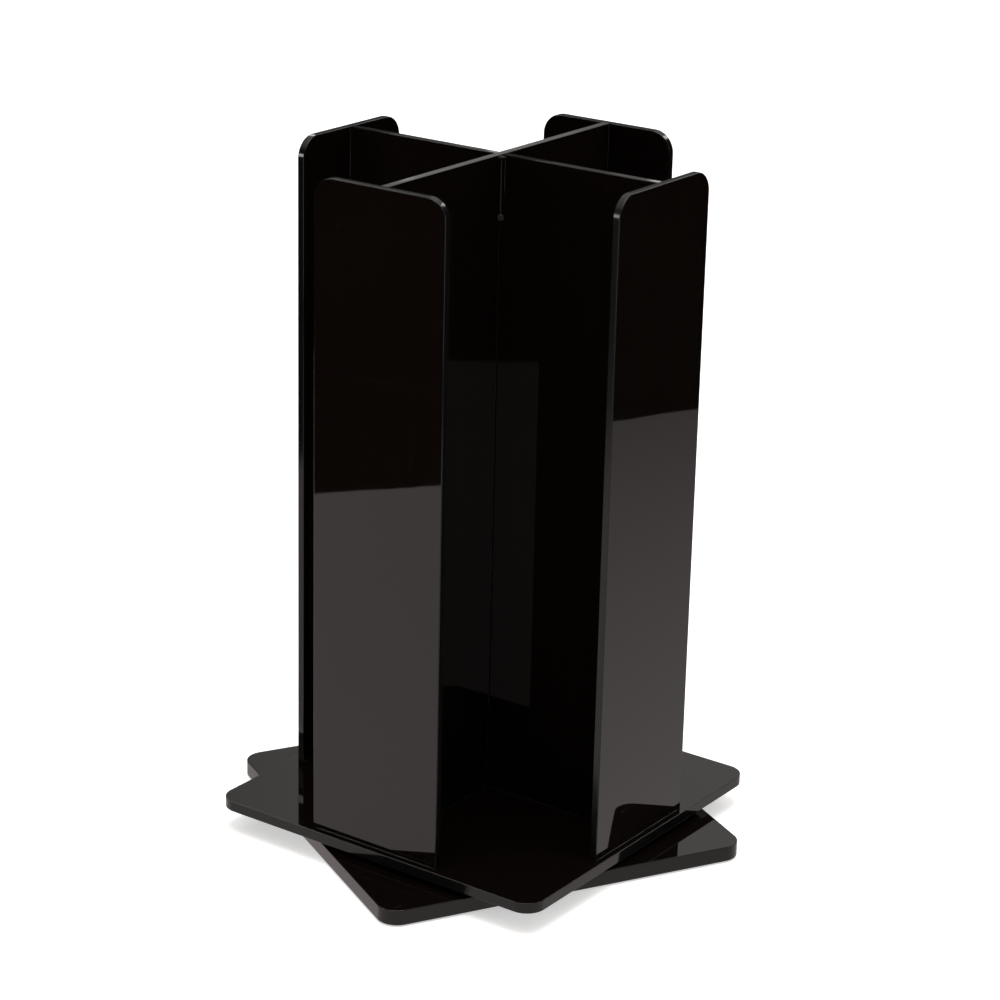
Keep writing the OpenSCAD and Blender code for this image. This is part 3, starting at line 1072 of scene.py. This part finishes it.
for e, (z, v) in zip(ramp.color_ramp.elements, stops):
    e.position = (z + 0.1) / 1.1
    e.color = (v, v * 0.975, v * 0.95, 1)
room = nt.nodes.new("ShaderNodeBackground")
nt.links.new(ramp.outputs[0], room.inputs[0])
level = gnode("ShaderNodeVectorMath", tc.outputs["Generated"], (1.0, 1.0, 0.0), operation="MULTIPLY").outputs["Vector"]
level = gnode("ShaderNodeVectorMath", level, operation="NORMALIZE").outputs["Vector"]


def lobe(azimuth, inner, outer, strength):
    """1 towards an azimuth, 0 beyond the outer angle from it (degrees)."""
    a = math.radians(azimuth)
    return ramp_between(along(level, (math.cos(a), math.sin(a), 0.0)), math.cos(math.radians(outer)), math.cos(math.radians(inner)), 0.0, strength)


def brightest(x, y):
    return gnode("ShaderNodeMath", x, y, operation="MAXIMUM").outputs[0]


# a pale wall behind and to the left, dim ones at the sides, and the ceiling all round
walls = brightest(lobe(108, 10, 37, 1.0), brightest(lobe(180, 8, 28, 0.4), lobe(2, 8, 26, 0.4)))
walls = brightest(walls, ramp_between(sx.outputs[2], 0.42, 0.75, 0.06, 1.0))
nt.links.new(walls, room.inputs[1])
white = nt.nodes.new("ShaderNodeBackground")
white.inputs[0].default_value = (1, 1, 1, 1)
lp = nt.nodes.new("ShaderNodeLightPath")
mx = nt.nodes.new("ShaderNodeMixShader")
wo = nt.nodes.new("ShaderNodeOutputWorld")
nt.links.new(lp.outputs["Is Camera Ray"], mx.inputs[0])
nt.links.new(room.outputs[0], mx.inputs[1])
nt.links.new(white.outputs[0], mx.inputs[2])
nt.links.new(mx.outputs[0], wo.inputs[0])


def soft_box(name, direction, distance, size, radiance, colour=(1, 0.99, 0.97), glossy=True):
    d = Vector(direction).normalized()
    light = bpy.data.lights.new(name, "AREA")
    light.shape = "RECTANGLE"
    light.size, light.size_y = size
    light.energy = radiance * math.pi * size[0] * size[1]
    light.color = colour
    ob = bpy.data.objects.new(name, light)
    scene.collection.objects.link(ob)
    ob.location = Vector((0, 0, 0.2)) + d * distance
    ob.rotation_mode = "QUATERNION"
    ob.rotation_quaternion = (-d).to_track_quat("-Z", "Y")
    ob.visible_camera = False
    ob.visible_glossy = glossy
    return ob


soft_box("overhead", (0.08, -0.06, 1.0), 2.6, (1.7, 1.7), 4.6)
soft_box("window_left", (-0.556, -0.80, 0.17), 2.3, (0.8, 0.46), 9.0)
soft_box("back_strip", (0.16, 0.78, 0.62), 2.5, (0.5, 0.45), 6.0)
soft_box("side_right", (0.93, 0.25, 0.30), 2.6, (0.8, 0.7), 4.0)
soft_box("side_rear", (-0.75, 0.60, 0.62), 2.6, (0.6, 0.5), 4.0)

# ---------------------------------------------------------------- camera

AZ, EL, ROLL = math.radians(35.3916), math.radians(19.5673), math.radians(1.3688)
back = Vector((math.sin(AZ) * math.cos(EL), -math.cos(AZ) * math.cos(EL), math.sin(EL)))
right = Vector((math.cos(AZ), math.sin(AZ), 0))
above = back.cross(right)
r = right * math.cos(ROLL) + above * math.sin(ROLL)
u = above * math.cos(ROLL) - right * math.sin(ROLL)
aim = Vector((0, 0, 0.2012505)) + right * 0.0042011
cam_data = bpy.data.cameras.new("camera")
cam_data.lens, cam_data.sensor_width = 105.44, 36.0
cam_data.clip_start, cam_data.clip_end = 0.05, 60
cam = bpy.data.objects.new("camera", cam_data)
scene.collection.objects.link(cam)
cam.matrix_world = Matrix.Translation(aim + back * 1.7036) @ Matrix((r, u, back)).transposed().to_4x4()
scene.camera = cam

scene.view_settings.view_transform = "Standard"
scene.view_settings.look = "None"
scene.view_settings.exposure = 0.0
scene.view_settings.gamma = 1.0

bpy.context.view_layer.update()
